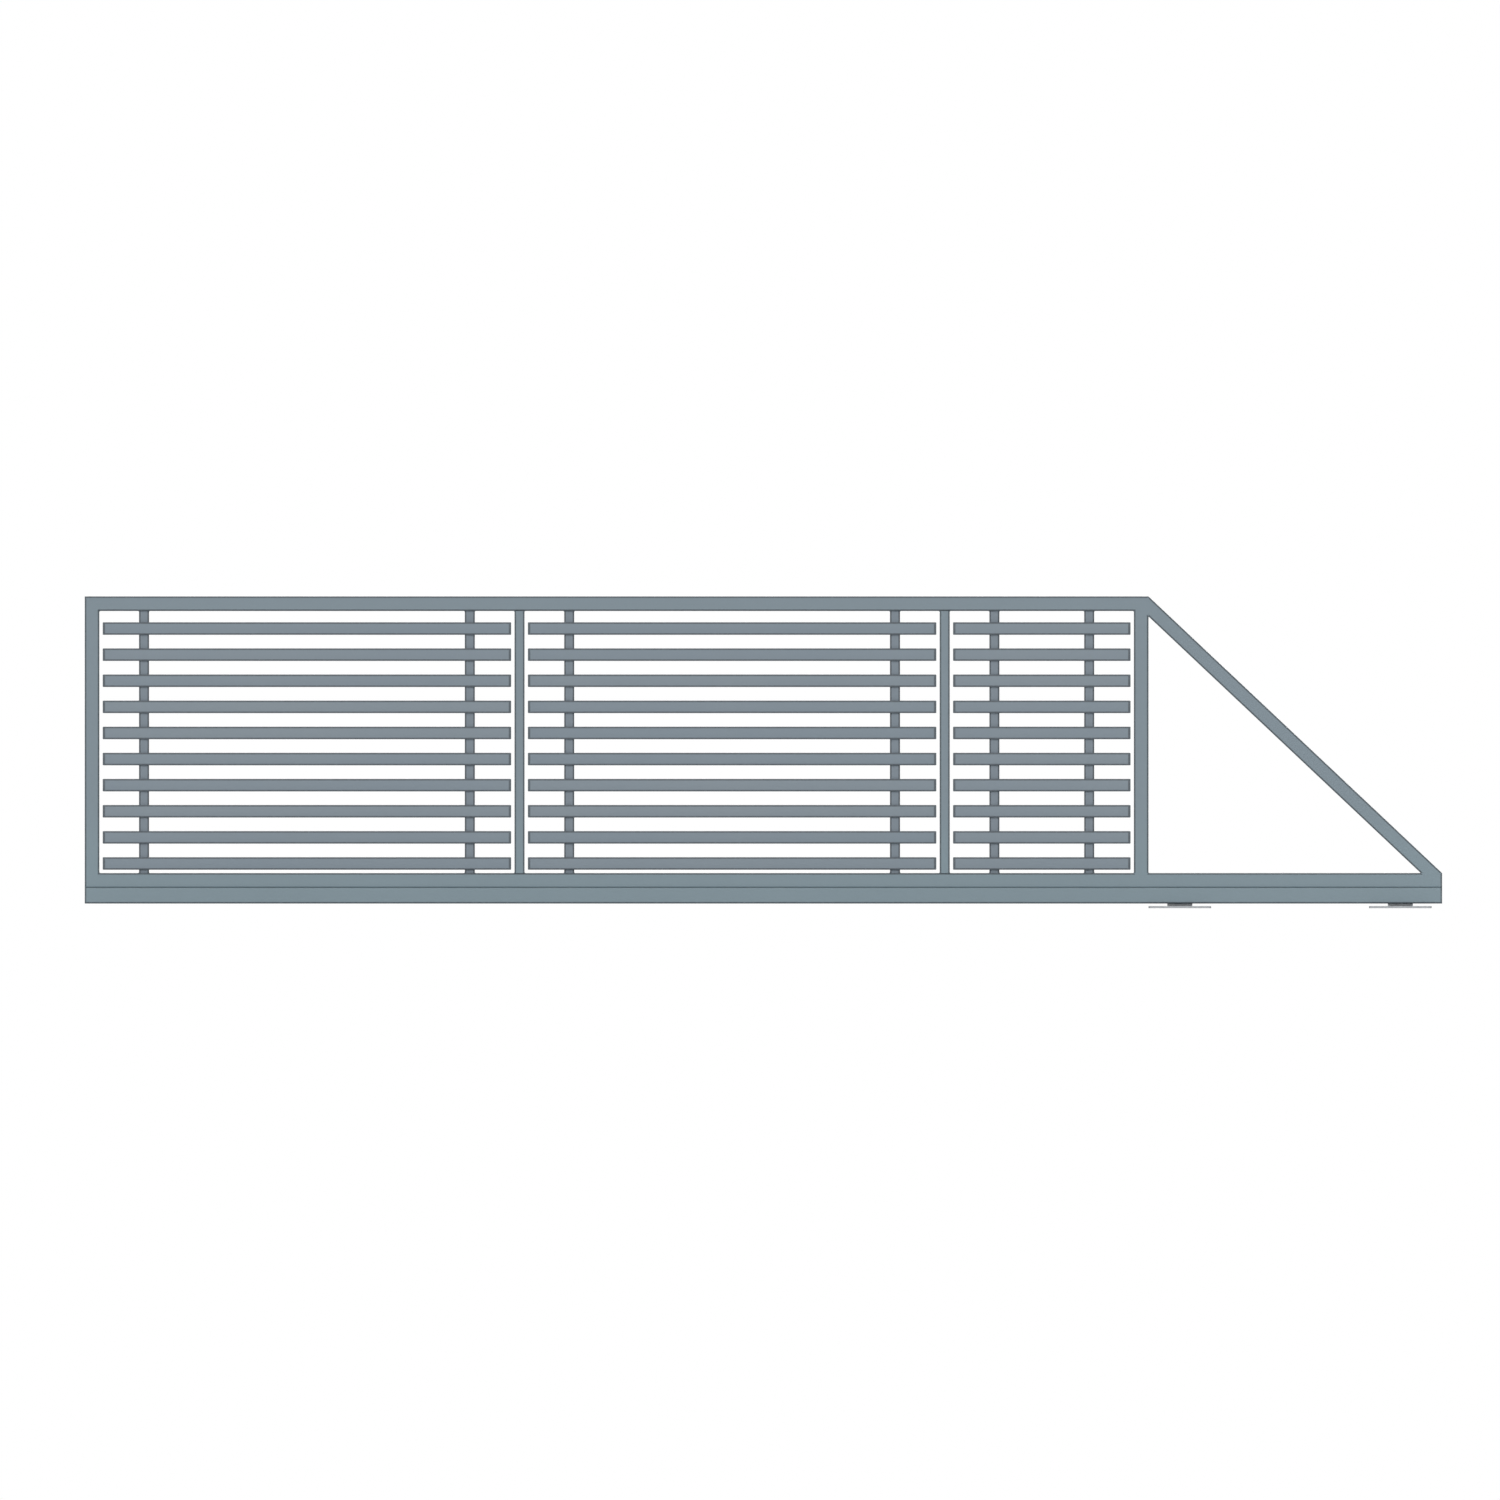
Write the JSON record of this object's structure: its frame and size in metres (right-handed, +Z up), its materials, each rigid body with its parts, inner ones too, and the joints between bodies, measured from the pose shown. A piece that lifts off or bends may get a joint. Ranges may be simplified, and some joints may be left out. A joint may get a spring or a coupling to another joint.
{
  "type": "sliding driveway gate",
  "caption": "Self-supporting sliding gate leaf of welded tube with horizontal slats and a braced tail, on a slotted carrier rail over roller carriages.",
  "frame": {"origin": "on the ground, under the middle of the front carriage's base plate", "axes": "+X along the leaf towards its tail, the way it opens; -Y towards the street; +Z up"},
  "size_m": [6.5, 0.15, 1.493],
  "materials": {
    "frame_coat": "fine-textured powder coat",
    "support_coat": "fine-textured powder coat",
    "slat_coat": "fine-textured powder coat",
    "plug_plastic": "moulded",
    "zinc_steel": "hot-dip zinc",
    "roller_nylon": "turned nylon",
    "axle_steel": "turned steel"
  },
  "bodies": {
    "carriages": {"front_carriage_base": "zinc_steel", "front_carriage_web": "zinc_steel", "front_carriage_street_rollers": "roller_nylon", "front_carriage_yard_rollers": "roller_nylon", "front_carriage_street_axles": "axle_steel", "front_carriage_yard_axles": "axle_steel", "rear_carriage_base": "zinc_steel", "rear_carriage_web": "zinc_steel", "rear_carriage_street_rollers": "roller_nylon", "rear_carriage_yard_rollers": "roller_nylon", "rear_carriage_street_axles": "axle_steel", "rear_carriage_yard_axles": "axle_steel"},
    "leaf": {"carrier_rail": "frame_coat", "bottom_rail": "frame_coat", "top_rail": "frame_coat", "front_stile": "frame_coat", "rear_stile": "frame_coat", "tail_brace": "frame_coat", "mid_post_1": "frame_coat", "mid_post_2": "frame_coat", "slat_support_1": "support_coat", "slat_support_2": "support_coat", "slat_support_3": "support_coat", "slat_support_4": "support_coat", "slat_support_5": "support_coat", "slat_support_6": "support_coat", "slats_bay_1": "slat_coat", "slats_bay_2": "slat_coat", "slats_bay_3": "slat_coat", "slat_plugs_bay_1": "plug_plastic", "slat_plugs_bay_2": "plug_plastic", "slat_plugs_bay_3": "plug_plastic", "carrier_front_cap": "plug_plastic", "carrier_rear_cap": "plug_plastic", "bottom_rail_cap": "plug_plastic"}
  },
  "joints": [
    {"name": "gate_slide", "type": "slide", "parent": "carriages", "child": "leaf", "axis": [1, 0, 0], "range_m": [0, 4.85]}
  ]
}
